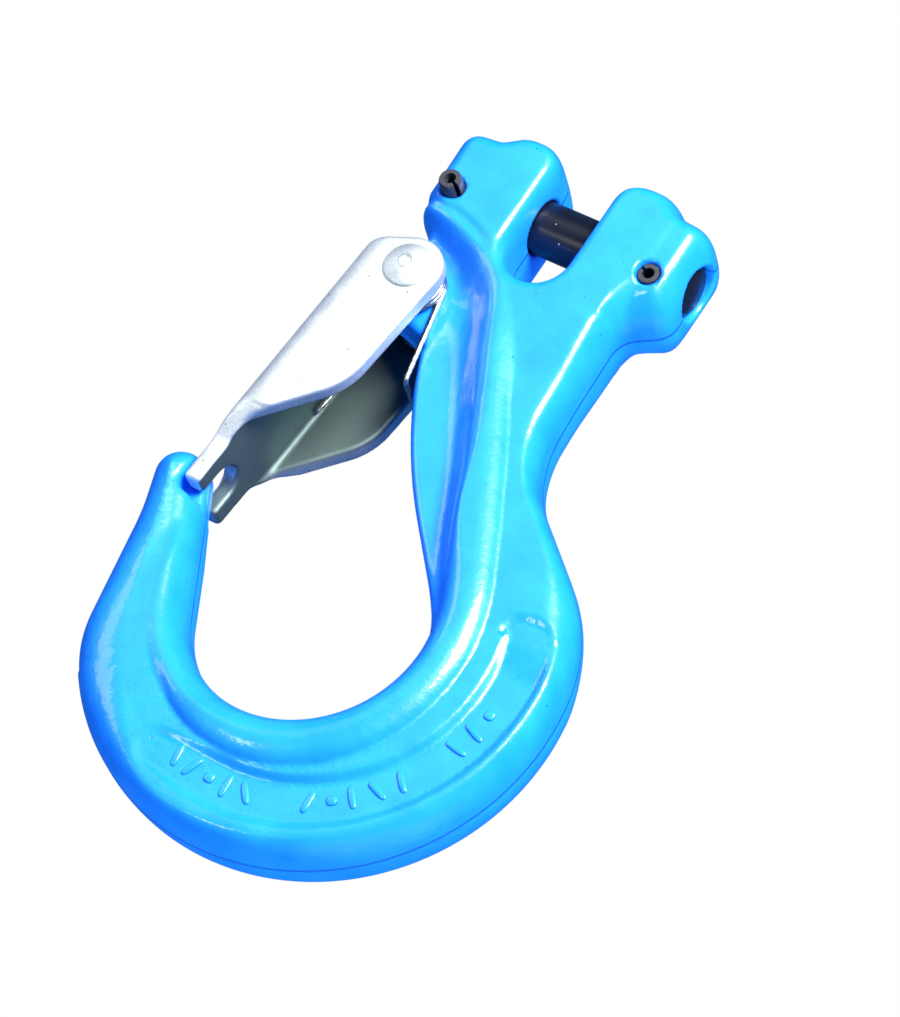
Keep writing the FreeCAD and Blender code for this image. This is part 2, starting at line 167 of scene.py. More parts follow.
# %% Belt outlines
CORNER = 0.2
BAR = [
    (4.3, -77.1, 39.2), (14.35, -75.25, 29.0), (36.1, -31.0, -18.9), (21.3, -15.5, -4.5), (19.4, -6.5, 4.2),
    (19.4, 4.3, 4.2), (17.6, 10.7, -2.0), (11.4, 5.2, 6.1), (-11.4, 5.2, 6.1), (-17.6, 10.7, -2.0),
    (-19.4, 4.3, 4.2), (-19.2, -6.5, 4.0), (-17.0, -27.5, -14.5), (0.3, -75.4, -19.6), (-31.6, -65.6, 4.4),
    (-71.9, -83.3, -39.4), (-10.6, -88.8, 20.05),
]
RIB = [
    (-15.7, -20.6, 5.4), (-12.1, -30.4, -3.0), (73.8, 4.6, 90.0), (20, -70, 0), (24, -60, 0), (10, -20, 0),
    (-10, -6, 0), (-18, -6, 0),
]
EAR_SLOT = [(0, -8, 5.3), (11.4, 5.2, -6.1), (11.4, 16, 0), (-11.4, 16, 0), (-11.4, 5.2, -6.1)]
MARK_POCKET = [(5, -76.2, 35.7), (35.5, -66.3, 3.2), (33.5, -66.5, 3.2), (5, -76.2, -27.8), (-6, -107.5, 3.0)]
TIP_SCOOP = [(-28.1, -67, 1.3), (-16, -69, 0), (-16, -56, 0), (-28.8, -56, 0)]


def tangent(here, there):
    """The two ends of the straight run of belt between two circles."""
    (x1, z1, r1), (x2, z2, r2) = here, there
    span = np.hypot(x2 - x1, z2 - z1)
    rise = r2 - r1
    straight = np.sqrt(max(span * span - rise * rise, 0.0))
    heading = np.arctan2(z2 - z1, x2 - x1) - np.arctan2(rise, straight)
    side = np.array([-np.sin(heading), np.cos(heading)])
    return np.array([x1, z1]) - r1 * side, np.array([x2, z2]) - r2 * side


def belt(circles):
    """The belt as a list of straight runs (start, end) and arcs (centre, radius, first angle, sweep)."""
    circles = [(x, z, r if r else CORNER) for x, z, r in circles]
    runs = [tangent(here, there) for here, there in zip(circles, circles[1:] + circles[:1])]
    arcs = []
    for (x, z, r), before, after in zip(circles, runs[-1:] + runs[:-1], runs):
        first = np.arctan2(before[1][1] - z, before[1][0] - x)
        last = np.arctan2(after[0][1] - z, after[0][0] - x)
        sweep = (last - first) % (2 * np.pi) if r > 0 else (first - last) % (2 * np.pi)
        arcs.append((np.array([x, z]), r, first, sweep))
    return runs, arcs


def belt_distance(shape, x, z):
    """Signed distance to a belt, below zero inside. The nearest run or arc gives both size and sign."""
    runs, arcs = shape
    best = np.full(np.broadcast(x, z).shape, 1e9)
    for (x1, z1), (x2, z2) in runs:
        length = max(np.hypot(x2 - x1, z2 - z1), 1e-6)
        ux, uz = (x2 - x1) / length, (z2 - z1) / length
        along = np.clip((x - x1) * ux + (z - z1) * uz, 0, length)
        size = np.hypot(x - x1 - along * ux, z - z1 - along * uz)
        signed = np.where((x - x1) * uz - (z - z1) * ux > 0, size, -size)
        best = np.where(np.abs(signed) < np.abs(best), signed, best)
    for centre, radius, first, sweep in arcs:
        dx, dz = x - centre[0], z - centre[1]
        turned = np.arctan2(dz, dx) - first if radius > 0 else first - np.arctan2(dz, dx)
        signed = np.sign(radius) * (np.hypot(dx, dz) - abs(radius))
        near = (turned % (2 * np.pi) <= sweep) & (np.abs(signed) < np.abs(best))
        best = np.where(near, signed, best)
    return best


bar, rib, ear_slot, mark_pocket, tip_scoop = map(belt, (BAR, RIB, EAR_SLOT, MARK_POCKET, TIP_SCOOP))
print("bar outline passes", round(float(belt_distance(bar, 0.3, -95.0)), 3), "mm from the seat")

# %% [markdown]
# ## The crest line
#
# The bead that carries the load has its highest line along a smooth curve, from the left ear down the neck
# and round the bowl. The curve is a spline through a few measured points. Any point gets two numbers from
# it: how far it is to the outer side of the crest, and how far along the crest it is.

# %% Crest line
CREST = [
    (-24.0, -7.2), (-18.2, -8.0), (-12.5, -9.5), (-7.7, -12.4), (-1.6, -19.7), (3.2, -27.5), (7.5, -35.4),
    (11.9, -43.1), (16.0, -50.8), (19.9, -58.4), (23.4, -66.1), (24.9, -74.7), (23.6, -83.6), (19.7, -91.1),
    (13.8, -96.4), (6.2, -99.2), (-2.2, -98.6), (-9.8, -94.6), (-15.4, -88.4), (-18.8, -81.0),
    (-22.4, -73.4), (-26.2, -66.4), (-29.6, -60.5), (-33.0, -54.0),
]


def spline(points, count):
    """A Catmull-Rom curve through the points: each span is the cubic with the slopes of its neighbours."""
    points = np.array(points, float)
    padded = np.vstack([2 * points[0] - points[1], points, 2 * points[-1] - points[-2]])
    at = np.linspace(0, len(points) - 1 - 1e-9, count)
    i = at.astype(int)
    t = (at - i)[:, None]
    p0, p1, p2, p3 = padded[i], padded[i + 1], padded[i + 2], padded[i + 3]
    return 0.5 * (2 * p1 + (p2 - p0) * t + (2 * p0 - 5 * p1 + 4 * p2 - p3) * t ** 2
                  + (3 * p1 - p0 - 3 * p2 + p3) * t ** 3)


def line_distance(line, x, z):
    """Distance to an open line, above zero on its outer side, and the length along it to that place."""
    best = np.full(np.broadcast(x, z).shape, 1e9)
    place = np.zeros_like(best)
    start = 0.0
    for (x1, z1), (x2, z2) in zip(line[:-1], line[1:]):
        length = np.hypot(x2 - x1, z2 - z1)
        ux, uz = (x2 - x1) / length, (z2 - z1) / length
        along = np.clip((x - x1) * ux + (z - z1) * uz, 0, length)
        size = np.hypot(x - x1 - along * ux, z - z1 - along * uz)
        signed = np.where((z - z1) * ux - (x - x1) * uz > 0, size, -size)
        closer = np.abs(signed) < np.abs(best)
        best = np.where(closer, signed, best)
        place = np.where(closer, start + along, place)
        start += length
    return best, place


GROOVE = [(-26.0, -7.0), (-21.0, -7.2), (-17.6, -7.5), (-14.4, -8.1), (-9.4, -9.9), (-3.9, -13.5)]
crest = spline(CREST, 90)
groove = spline(GROOVE, 24)
print("crest line is", round(float(np.hypot(*np.diff(crest, axis=0).T).sum()), 1), "mm long")

# %% [markdown]
# ## The shape of the forging
#
# Each half of the forging is a relief over the XZ plane: a height for every point, full at the ears and on
# the bead, lower on the web, lowest in the marking pocket. The sides are rounded over from the outline to
# that height, because the die has to let go of the metal. The rib behind the latch is a thinner plate of
# the same kind. The slot, the bores and the scoops beside the tip are then taken away with softened edges,
# as grit blasting and a thick powder coat leave them.

# %% Smooth joins and steps


def smooth_min(a, b, reach):
    """The lower of two fields, with a fillet about as wide as the reach where they cross."""
    h = np.clip(0.5 + 0.5 * (b - a) / reach, 0, 1)
    return b * (1 - h) + a * h - reach * h * (1 - h)


def smooth_max(a, b, reach):
    """The higher of two fields, with a rounding about as wide as the reach where they cross."""
    return -smooth_min(-a, -b, reach)


def step(low, high, value):
    """0 below low, 1 above high, and a smooth rise between."""
    t = np.clip((value - low) / (high - low), 0, 1)
    return t * t * (3 - 2 * t)


def slab(edge, depth, height, over, drop):
    """A plate of half thickness height. Its edge is rounded over an ellipse, over wide and drop deep."""
    a = (edge + over) / over
    b = (depth - height + drop) / drop
    corner = np.hypot(np.maximum(a, 0), np.maximum(b, 0)) + np.minimum(np.maximum(a, b), 0)
    return (corner - 1) * np.minimum(over, drop)


# %% Relief of the front and back faces
BEAD_TOP = 9.3
EAR_TOP = 9.3
WEB_TOP = 7.5
POCKET_DEPTH = 1.1
RIB_TOP = 4.1
BOWL_CENTRE = (5.0, -76.2)
PIN_BORE = 4.55
PIN_AT, CROSS_HOLE = (18.2, -4.2), 1.9
RIVET, RIVET_BORE = (-15.7, -20.6), 3.06


def ear_groove(x, z):
    """1 along the fold between the left ear and the crest, fading to 0 beside it and at its lower end."""
    away, along = line_distance(groove, x, z)
    return np.exp(-(away / 0.9) ** 2) * step(24, 15, along)


def relief(x, z):
    """Half thickness of the bar over the XZ plane, in mm."""
    out, along = line_distance(crest, x, z)
    neck = step(52, 18, along)
    left = step(-6, -18, x) * step(-50, -60, z)
    web = WEB_TOP + 0.5 * neck + 1.1 * step(-30, -14, z) - 0.2 * step(-60, -75, z) + 1.0 * left
    web = web + (EAR_TOP - web) * step(-15, -7.5, z)
    pocket = step(0.7, -1.1, belt_distance(mark_pocket, x, z))
    web = web - POCKET_DEPTH * pocket * step(-14, 8, x) * (1 - 0.5 * step(-74, -66, z))
    width = 5.0 + 1.6 * neck - 0.6 * left
    bead = BEAD_TOP - width + np.sqrt(np.maximum(width ** 2 - np.clip(out, 0, width) ** 2, 0.01))
    height = smooth_max(web, bead, 0.5 + 0.6 * neck + 1.2 * left)
    out_of_reach = 12 * step(18, 9, x) + 12 * step(-13, -19, z)
    boss = 9.8 - 3.4 * step(-3.5, -12, z) + out_of_reach
    return smooth_min(height, boss, 1.6) - 0.55 * ear_groove(x, z)


def edge_round(x, z):
    """How far in from the outline the face becomes flat, in mm."""
    right = step(8, 18, x) * step(-64, -50, z)
    ears = step(-14, -6, z)
    left = step(-4, -20, x) * step(-50, -66, z)
    rim = step(-20, 0, x) * step(-60, -72, z) * step(14, 20, np.hypot(x - 0.9, z + 75.1))
    outside = step(27, 31, np.hypot(x - BOWL_CENTRE[0], z - BOWL_CENTRE[1]))
    return 5.2 - 3.0 * right * (1 - ears) - 1.2 * ears + 3.6 * left * outside - 2.6 * rim * outside


def hook_field(x, y, z):
    """Below zero inside the forging, above zero outside."""
    depth = np.sqrt(y * y + 0.05)
    height = relief(x, z)
    over = edge_round(x, z)
    edge = belt_distance(bar, x, z) + 0.5 * ear_groove(x, z)
    body = slab(edge, depth, height, over, height - 1.0)
    plate = slab(belt_distance(rib, x, z), depth, RIB_TOP, 1.5, 1.5)
    solid = smooth_min(body, plate, 2.4 + 2.6 * step(-50, -26, z) * step(-13, -7, x))
    solid = smooth_max(solid, -belt_distance(ear_slot, x, z), 2.4)
    scoop = np.maximum(belt_distance(tip_scoop, x, z), 2.6 - depth)
    solid = smooth_max(solid, -scoop, 1.2)
    solid = smooth_max(solid, PIN_BORE - np.hypot(y, z), 0.9)
    solid = smooth_max(solid, CROSS_HOLE - np.hypot(np.abs(x) - PIN_AT[0], z - PIN_AT[1]), 0.6)
    return smooth_max(solid, RIVET_BORE - np.hypot(x - RIVET[0], z - RIVET[1]), 0.4)


# %% [markdown]
# ## From a field to a mesh
#
# The field is sampled on a grid of small cells. Each cell that the surface passes through gets one point,
# and each grid edge that it crosses gets one four sided face. The points are then slid along the slope of
# the field onto the true surface, and the slope there is also the exact normal.

# %% Surface nets


def surface_net(field, low, high, cell):
    """Points and four sided faces of the surface where the field is zero."""
    axes = [np.arange(a, b + cell, cell) for a, b in zip(low, high)]
    value = field(axes[0][:, None, None], axes[1][None, :, None], axes[2][None, None, :])
    shape = tuple(n - 1 for n in value.shape)
    total = np.zeros(shape + (3,))
    count = np.zeros(shape)
    crossings = []
    for axis in range(3):
        first = tuple(slice(0, -1) if a == axis else slice(1, -1) for a in range(3))
        second = tuple(slice(1, None) if a == axis else slice(1, -1) for a in range(3))
        f0, f1 = value[first], value[second]
        cut = np.argwhere((f0 < 0) != (f1 < 0))
        t = f0[tuple(cut.T)] / (f0[tuple(cut.T)] - f1[tuple(cut.T)])
        node = cut + np.array([0 if a == axis else 1 for a in range(3)])
        point = node.astype(float)
        point[:, axis] += t
        b, c = (axis + 1) % 3, (axis + 2) % 3
        around = []
        for db, dc in ((-1, -1), (0, -1), (0, 0), (-1, 0)):
            corner = node.copy()
            corner[:, b] += db
            corner[:, c] += dc
            flat = np.ravel_multi_index(tuple(corner.T), shape)
            np.add.at(total.reshape(-1, 3), flat, point)
            np.add.at(count.reshape(-1), flat, 1)
            around.append(flat)
        quad = np.stack(around, 1)
        out = f0[tuple(cut.T)] < 0
        crossings.append(np.where(out[:, None], quad, quad[:, ::-1]))
    used = count.reshape(-1) > 0
    number = np.cumsum(used) - 1
    points = total.reshape(-1, 3)[used] / count.reshape(-1)[used][:, None] * cell + np.array(low)
    return points, number[np.vstack(crossings)]


def slope(field, points, reach=0.02):
    """The gradient of the field at each point, from differences either side of it."""
    columns = []
    for axis in range(3):
        shift = np.zeros(3)
        shift[axis] = reach
        columns.append((field(*(points + shift).T) - field(*(points - shift).T)) / (2 * reach))
    return np.stack(columns, 1)


def settle(field, points, rounds=4):
    """Slides each point along the slope until the field is zero there. Returns the points and normals."""
    for _ in range(rounds):
        gradient = slope(field, points)
        move = -field(*points.T)[:, None] * gradient / np.maximum((gradient ** 2).sum(1), 0.05)[:, None]
        points = points + np.clip(move, -0.25, 0.25)
    gradient = slope(field, points)
    return points, gradient / np.linalg.norm(gradient, axis=1)[:, None]


# %% Build the forging
CELL = 0.6
points, faces = surface_net(hook_field, (-37, -10.1, -117), (46, 10.1, 13), CELL)
points, normals = settle(hook_field, points)
hook_forging = new_mesh("hook_forging", points, faces.tolist(), normals)
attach(hook_forging, "hook")
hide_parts("hook_body")
print("forging:", len(points), "points,", 2 * len(faces), "triangles")

# %% [markdown]
# ## Raised marks
#
# Forgings of this kind carry raised marks in a shallow pocket, struck by cuts in the die. Here they are
# plain bars and dots that say nothing. Each is a soft edged pad, a superellipsoid half sunk in the floor of
# the pocket, and there is the same set on both faces.

# %% Marks
MARKS = [
    (-103, "bar", 20), (-97.5, "bar", -15), (-91.5, "dot", 0), (-86, "bar", 0), (-80, "bar", 30),
    (-62, "bar", -25), (-55.5, "dot", 0), (-50, "bar", 0), (-43, "bar", 25), (-36, "bar", -10),
    (-19, "bar", 10), (-12.5, "bar", -10), (-6, "dot", 0),
]
MARK_RADIUS = 31.4


PAD_RINGS, PAD_SPOKES = 11, 28
PAD_POWER = 0.7
PAD_SIZES = {"bar": (3.9, 1.1, 0.42), "dot": (1.7, 1.7, 0.42)}


def pad_points(length, width, height, spin):
    """A superellipsoid: long along its own radial direction, turned by spin degrees in the XZ plane."""
    tilt = np.linspace(-np.pi / 2, np.pi / 2, PAD_RINGS + 2)[1:-1, None]
    turn = np.linspace(0, 2 * np.pi, PAD_SPOKES, endpoint=False)[None, :]

    def power(value):
        return np.sign(value) * np.abs(value) ** PAD_POWER

    ring = power(np.cos(tilt))
    u = length / 2 * ring * power(np.cos(turn))
    v = width / 2 * ring * power(np.sin(turn))
    w = height * power(np.sin(tilt)) * np.ones_like(turn)
    a = np.radians(spin)
    points = np.stack([u * np.cos(a) - v * np.sin(a), w, u * np.sin(a) + v * np.cos(a)], -1).reshape(-1, 3)
    return np.vstack([points, [(0, -height, 0), (0, height, 0)]])


pads, pad_sides = [], []
one_pad = ring_faces(PAD_RINGS, PAD_SPOKES, turned=True)
for angle, kind, spin in MARKS:
    x = BOWL_CENTRE[0] + MARK_RADIUS * np.cos(np.radians(angle))
    z = BOWL_CENTRE[1] + MARK_RADIUS * np.sin(np.radians(angle))
    floor = float(relief(np.array([x]), np.array([z]))[0])
    for side in (-1, 1):
        base = len(pads) * (PAD_RINGS * PAD_SPOKES + 2)
        pads.append(pad_points(*PAD_SIZES[kind], angle + spin) + (x, side * floor, z))
        pad_sides += [[corner + base for corner in face] for face in one_pad]
raised_marks = new_mesh("raised_marks", np.vstack(pads), pad_sides)
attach(raised_marks, "hook")
print("marks:", len(pads), "pads")

# %% [markdown]
# ## The pressed latch
#
# The latch is a strip of 3 mm steel, blanked, forked at its lower end and folded into a channel. It leans
# out a little from the hook. It is made as a field too: the channel section, cut by the side outline, the
# flanks and the notch of the fork, and the rivet hole. The shear and the tumbling barrel take the sharpness
# off each edge, and the soft joins do the same here.

# %% Latch
LEAN = np.radians(4.4)
LATCH_FACE = (-27.1, -42.0)
NOTCH_TOP, NOTCH_HALF_WIDTH = -62.8, 3.3
LATCH_BORE = 3.02
channel = belt([
    (4, -7, 4), (24, -11, 0), (24, -8, 0), (4, -7, -1), (4, 7, -1), (24, 8, 0), (24, 11, 0), (4, 7, 4),
])
latch_side = belt([
    (-34, -66.5, 0), (-24.5, -66.5, 0), (-20.5, -56.5, -4), (-24.2, -37.5, 12), (-15.7, -20.6, 5.6),
    (-34, -22.4, 0),
])
fork_flank = belt([(7.3, -72, 0), (16, -72, 0), (16, -52.5, 0), (11, -52.5, 0), (11.3, -60, 4)])


def latch_field(x, y, z):
    """Below zero inside the latch."""
    side = np.abs(y)
    inward = (x - LATCH_FACE[0]) * np.cos(LEAN) - (z - LATCH_FACE[1]) * np.sin(LEAN)
    solid = smooth_max(belt_distance(channel, inward, y), belt_distance(latch_side, x, z), 0.9)
    solid = smooth_max(solid, -belt_distance(fork_flank, side, z), 0.9)
    notch = np.where(z > NOTCH_TOP, np.hypot(side, z - NOTCH_TOP), side) - NOTCH_HALF_WIDTH
    solid = smooth_max(solid, -notch, 0.8)
    return smooth_max(solid, LATCH_BORE - np.hypot(x - RIVET[0], z - RIVET[1]), 0.3)


points, faces = surface_net(latch_field, (-32, -12, -69), (-8, 12, -13), 0.42)
points, normals = settle(latch_field, points)
latch_plate = new_mesh("latch_plate", points, faces.tolist(), normals)
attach(latch_plate, "latch_set")
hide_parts("latch")
print("latch:", 2 * len(faces), "triangles")

# %% [markdown]
# ## Turned pieces: the load pin and the latch rivet
#
# Both are bodies of revolution, so each is one profile spun round its axis. The load pin has a chamfer at
# each end and two necks for the pins that hold it. The rivet has a domed head at each end, with the dimple
# that the setting tool leaves in its crown.

# %% Lathe


def arc(centre, radius, first, last, count):
    """Points on an arc, angles in degrees."""
    angle = np.radians(np.linspace(first, last, count))
    return np.stack([centre[0] + radius * np.cos(angle), centre[1] + radius * np.sin(angle)], 1)


def lathe(name, profile, axis, centre, spokes=96):
    """Spins a profile of (place along the axis, radius) rows about the axis. Its two ends are on the axis."""
    along, radius = np.array(profile, float).T
    angle = np.linspace(0, 2 * np.pi, spokes, endpoint=False)
    b, c = (axis + 1) % 3, (axis + 2) % 3
    points = np.zeros((len(along) - 2, spokes, 3))
    points[..., axis] = along[1:-1, None]
    points[..., b] = radius[1:-1, None] * np.cos(angle)
    points[..., c] = radius[1:-1, None] * np.sin(angle)
    ends = np.zeros((2, 3))
    ends[:, axis] = along[[0, -1]]
    points = np.vstack([points.reshape(-1, 3), ends]) + centre
    return new_mesh(name, points, ring_faces(len(along) - 2, spokes), crisp=35)


# %% Load pin
half_pin = [(22.5, 0), (22.5, 3.55), (22.42, 3.75), (21.75, 4.42), (21.55, 4.5), (20.25, 4.5), (20.25, 2.2),
            (16.15, 2.2), (16.15, 4.5)]
profile = [(-a, r) for a, r in half_pin] + half_pin[::-1]
load_pin = lathe("load_pin_turned", profile, 0, (0, 0, 0))
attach(load_pin, "pin")
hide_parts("load_pin")

# %% Latch rivet
dimple = arc((13.25, 0), 1.25, 180, 122, 9)
rise, head = 1.5 - 0.3, 4.0
dome_radius = (head ** 2 + rise ** 2) / (2 * rise)
dome = arc((12.5 - dome_radius, 0), dome_radius, 11, 32, 14)
rim = np.array([(11.18, 3.98), (11.05, 3.95), (11.0, 3.85), (11.0, 3.0)])
half_rivet = np.vstack([dimple, dome, rim])
half_rivet[0, 1] = 0
profile = np.vstack([half_rivet * (-1, 1), half_rivet[::-1]])
rivet = lathe("rivet_domed", profile, 1, (RIVET[0], 0, RIVET[1]))
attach(rivet, "latch_set")
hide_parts("latch_rivet")

# %% [markdown]
# ## The spring pins that hold the load pin
#
# Each is a strip of spring steel rolled into a tube, with a slit where its edges nearly meet and a chamfer
# at each end. The section is one closed loop: out along the outside and back along the inside. It is set at
# several places along the pin, and the two end faces join its outside to its inside.

# %% Spring pins


def spring_pin(name, centre, low, high, slit):
    """A rolled pin along Y from low to high, with its slit facing the angle slit, in degrees."""
    count = 40
    half_gap = 0.2
    angle = np.radians(slit) + np.linspace(half_gap, 2 * np.pi - half_gap, count)
    inset = np.array([0.34, 0.2, 0.05, 0.0, 0.0, 0.05, 0.2, 0.34])
    bore = np.array([1.0, 0.97, 0.95, 0.95, 0.95, 0.95, 0.97, 1.0])
    place = np.array([low, low + 0.04, low + 0.3, low + 0.5, high - 0.5, high - 0.3, high - 0.04, high])
    outside = (CROSS_HOLE - inset)[:, None, None] * np.stack([np.cos(angle), np.sin(angle)], 1)
    inside = bore[:, None, None] * np.stack([np.cos(angle), np.sin(angle)], 1)[::-1]
    loop = np.concatenate([outside, inside], 1)
    points = np.zeros((len(place), 2 * count, 3))
    points[..., 0] = centre[0] + loop[..., 0]
    points[..., 1] = place[:, None]
    points[..., 2] = centre[1] + loop[..., 1]
    around = np.arange(2 * count)
    after = (around + 1) % (2 * count)
    rows = np.arange(len(place) - 1)[:, None] * 2 * count
    wall = np.stack([rows + around, rows + after, rows + 2 * count + after, rows + 2 * count + around], -1)
    i = np.arange(count - 1)
    cap = np.stack([i, 2 * count - 1 - i, 2 * count - 2 - i, i + 1], 1)
    far = cap + (len(place) - 1) * 2 * count
    faces = np.vstack([wall.reshape(-1, 4)[:, ::-1], cap[:, ::-1], far])
    return new_mesh(name, points.reshape(-1, 3), faces.tolist(), crisp=35)


HALF_LENGTH = 8.7
spring_pins = []
for name, side, proud, slit in (("left", -1, 3.1, -25.0), ("right", 1, 0.0, 160.0)):
    centre = (PIN_AT[0] * side, PIN_AT[1])
    pin = spring_pin("spring_pin_" + name, centre, -HALF_LENGTH - proud, HALF_LENGTH - proud, slit)
    spring_pins.append(pin)
    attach(pin, "hook")
    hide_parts("retaining_pin_" + name)

# %% [markdown]
# ## The latch spring
#
# One length of 0.9 mm wire makes a double torsion spring. Each end lies along the inside of the latch web,
# the wire then winds more than twice round the rivet, and the middle is bent square to bear on the hook.
# It is made as two mirrored halves that meet in the middle. The end on the latch turns with the latch
# while the middle stays on the hook.

# %% Latch spring
WIRE = 0.45
COIL = 4.6
LEG_Y, ARM_Y = 6.9, 4.6
LEG_END = np.array([-23.55, -42.0])
BRIDGE = np.array([-7.8, -36.0])
BEND = 1.0


def touch(point, side):
    """The angle at which a straight wire from the point meets the coil."""
    away = point - RIVET
    return np.arctan2(away[1], away[0]) + side * np.arccos(COIL / np.hypot(*away))


def in_plane(x, z, y):
    """Rows of x, y, z from x, z and y, any of which may be one number."""
    x, z, y = np.broadcast_arrays(np.atleast_1d(x).astype(float), z, y)
    return np.stack([x, y, z], 1)


leg_angle, arm_angle = touch(LEG_END, -1), touch(BRIDGE, 1)
swept = 4 * np.pi + (leg_angle - arm_angle) % (2 * np.pi)
t = np.linspace(0, 1, 140)
wound = leg_angle - swept * t
coil = in_plane(RIVET[0] + COIL * np.cos(wound), RIVET[1] + COIL * np.sin(wound), LEG_Y + (ARM_Y - LEG_Y) * t)
arm = (BRIDGE - coil[-1, [0, 2]]) / np.linalg.norm(BRIDGE - coil[-1, [0, 2]])
turn = np.radians(np.linspace(0, 90, 9))
bend_along = -BEND + BEND * np.sin(turn)
bend_x, bend_z = (BRIDGE + arm * bend_along[:, None]).T
bend = in_plane(bend_x, bend_z, ARM_Y - BEND * (1 - np.cos(turn)))
leg = in_plane(*(LEG_END + (coil[0, [0, 2]] - LEG_END) * np.linspace(0, 0.98, 12)[:, None]).T, LEG_Y)
leaves, meets = coil[-1, [0, 2]], bend[0, [0, 2]]
straight = in_plane(*(leaves + (meets - leaves) * np.linspace(0.03, 0.97, 10)[:, None]).T, ARM_Y)
bridge = in_plane(BRIDGE[0], BRIDGE[1], np.linspace(ARM_Y - BEND - 0.2, 0, 6))
path = np.vstack([leg, coil, straight, bend, bridge])


def tube(name, path, radius, ring=14):
    """A round wire along a path, with a rounded cap at each end."""
    ahead = np.gradient(path, axis=0)
    ahead /= np.linalg.norm(ahead, axis=1)[:, None]
    flat = ahead * (1, 0, 1)
    last = np.flatnonzero(np.linalg.norm(flat, axis=1) > 0.3)[-1]
    flat[last + 1:] = flat[last]
    side = np.cross(flat, (0, 1, 0))
    side /= np.linalg.norm(side, axis=1)[:, None]
    up = np.cross(side, ahead)
    cap = np.radians([90, 60, 30])
    first = path[0] - ahead[0] * radius * np.sin(cap)[:, None]
    final = path[-1] + ahead[-1] * radius * np.sin(cap[::-1])[:, None]
    middle = np.vstack([first, path, final])
    size = radius * np.concatenate([np.cos(cap), np.ones(len(path)), np.cos(cap[::-1])])
    side = np.vstack([side[:1]] * 3 + [side] + [side[-1:]] * 3)
    up = np.vstack([up[:1]] * 3 + [up] + [up[-1:]] * 3)
    angle = np.linspace(0, 2 * np.pi, ring, endpoint=False)
    wall = side[:, None] * np.cos(angle)[None, :, None] + up[:, None] * np.sin(angle)[None, :, None]
    rows = middle[1:-1, None] + wall[1:-1] * size[1:-1, None, None]
    points = np.vstack([rows.reshape(-1, 3), middle[[0, -1]]])
    return new_mesh(name, points, ring_faces(len(middle) - 2, ring, turned=True))


spring_halves = []
for name, side in (("near", -1), ("far", 1)):
    half = tube("spring_wire_" + name, path * (1, side, 1), WIRE)
    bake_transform(half)
    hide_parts("latch_spring")
    spring_halves.append(half)
print("spring path:", round(float(np.linalg.norm(np.diff(path, axis=0), axis=1).sum()), 1), "mm each half")

# %% [markdown]
# ## Finishes
#
# Every pattern is drawn on the object's own coordinates, turned into millimetres, so its grain has a real
# size. Two patterns come back in several finishes: a cloudy change between two tones, and scattered flecks.

# %% Shared patterns


def in_millimetres(tree):
    """The object's own coordinates in millimetres."""
    place = add_node(tree, "TexCoord").outputs["Object"]
    return add_node(tree, "VectorMath", {0: place, 1: (1000, 1000, 1000)}, operation="MULTIPLY").outputs[0]


def noise(tree, where, per_mm, detail, roughness=0.5):
    """A cloudy value from 0 to 1, with about per_mm clouds to the millimetre."""
    settings = {"Vector": where, "Scale": per_mm, "Detail": detail, "Roughness": roughness}
    return add_node(tree, "TexNoise", settings).outputs["Fac"]


def two_tones(tree, value, low, low_colour, high, high_colour):
    """A colour that runs from one hex tone, where the value is low, to another, where it is high."""
    ramp = add_node(tree, "ValToRGB", {"Fac": value})
    for element, position, colour in zip(ramp.color_ramp.elements, (low, high), (low_colour, high_colour)):
        element.position = position
        element.color = linear(colour)
    return ramp.outputs["Color"]


def fade(tree, value, start, end):
    """1 where the value is at start or before it, 0 at end or past it."""
    limits = {"Value": value, "From Min": start, "From Max": end, "To Min": 1.0, "To Max": 0.0}
    return add_node(tree, "MapRange", limits).outputs[0]


def flecks(tree, where, per_mm, core, rim, share):
    """Small round flecks: 1 inside the core, 0 past the rim, in the given share of the cells."""
    cells = add_node(tree, "TexVoronoi", {"Vector": where, "Scale": per_mm})
    dot = fade(tree, cells.outputs["Distance"], core, rim)
    lot = add_node(tree, "SeparateColor", {"Color": cells.outputs["Color"]}).outputs[0]
    chosen = add_node(tree, "Math", {0: lot, 1: 1 - share}, operation="GREATER_THAN").outputs[0]
    return add_node(tree, "Math", {0: dot, 1: chosen}, operation="MULTIPLY").outputs[0]


def mixed(tree, amount, colour, other):
    """The first colour, turned into the hex colour other as the amount goes from 0 to 1."""
    return add_node(tree, "Mix", {0: amount, 6: colour, 7: linear(other)}, data_type="RGBA").outputs[2]


def size_along(tree, vector, axis):
    """How far a vector reaches along one axis, either way."""
    part = add_node(tree, "SeparateXYZ", {0: vector}).outputs[axis]
    return add_node(tree, "Math", {0: part}, operation="ABSOLUTE").outputs[0]


# %% [markdown]
# ### Blue powder coat
#
# The hook is shot blasted and coated with blue powder that melts to a thick glossy skin. The skin flows, so
# it has a faint long wave texture, and the thin raised line where the two dies met shows through it. Dust
# and gas leave small dark pits. Under the line and in the pits the blue looks almost navy.

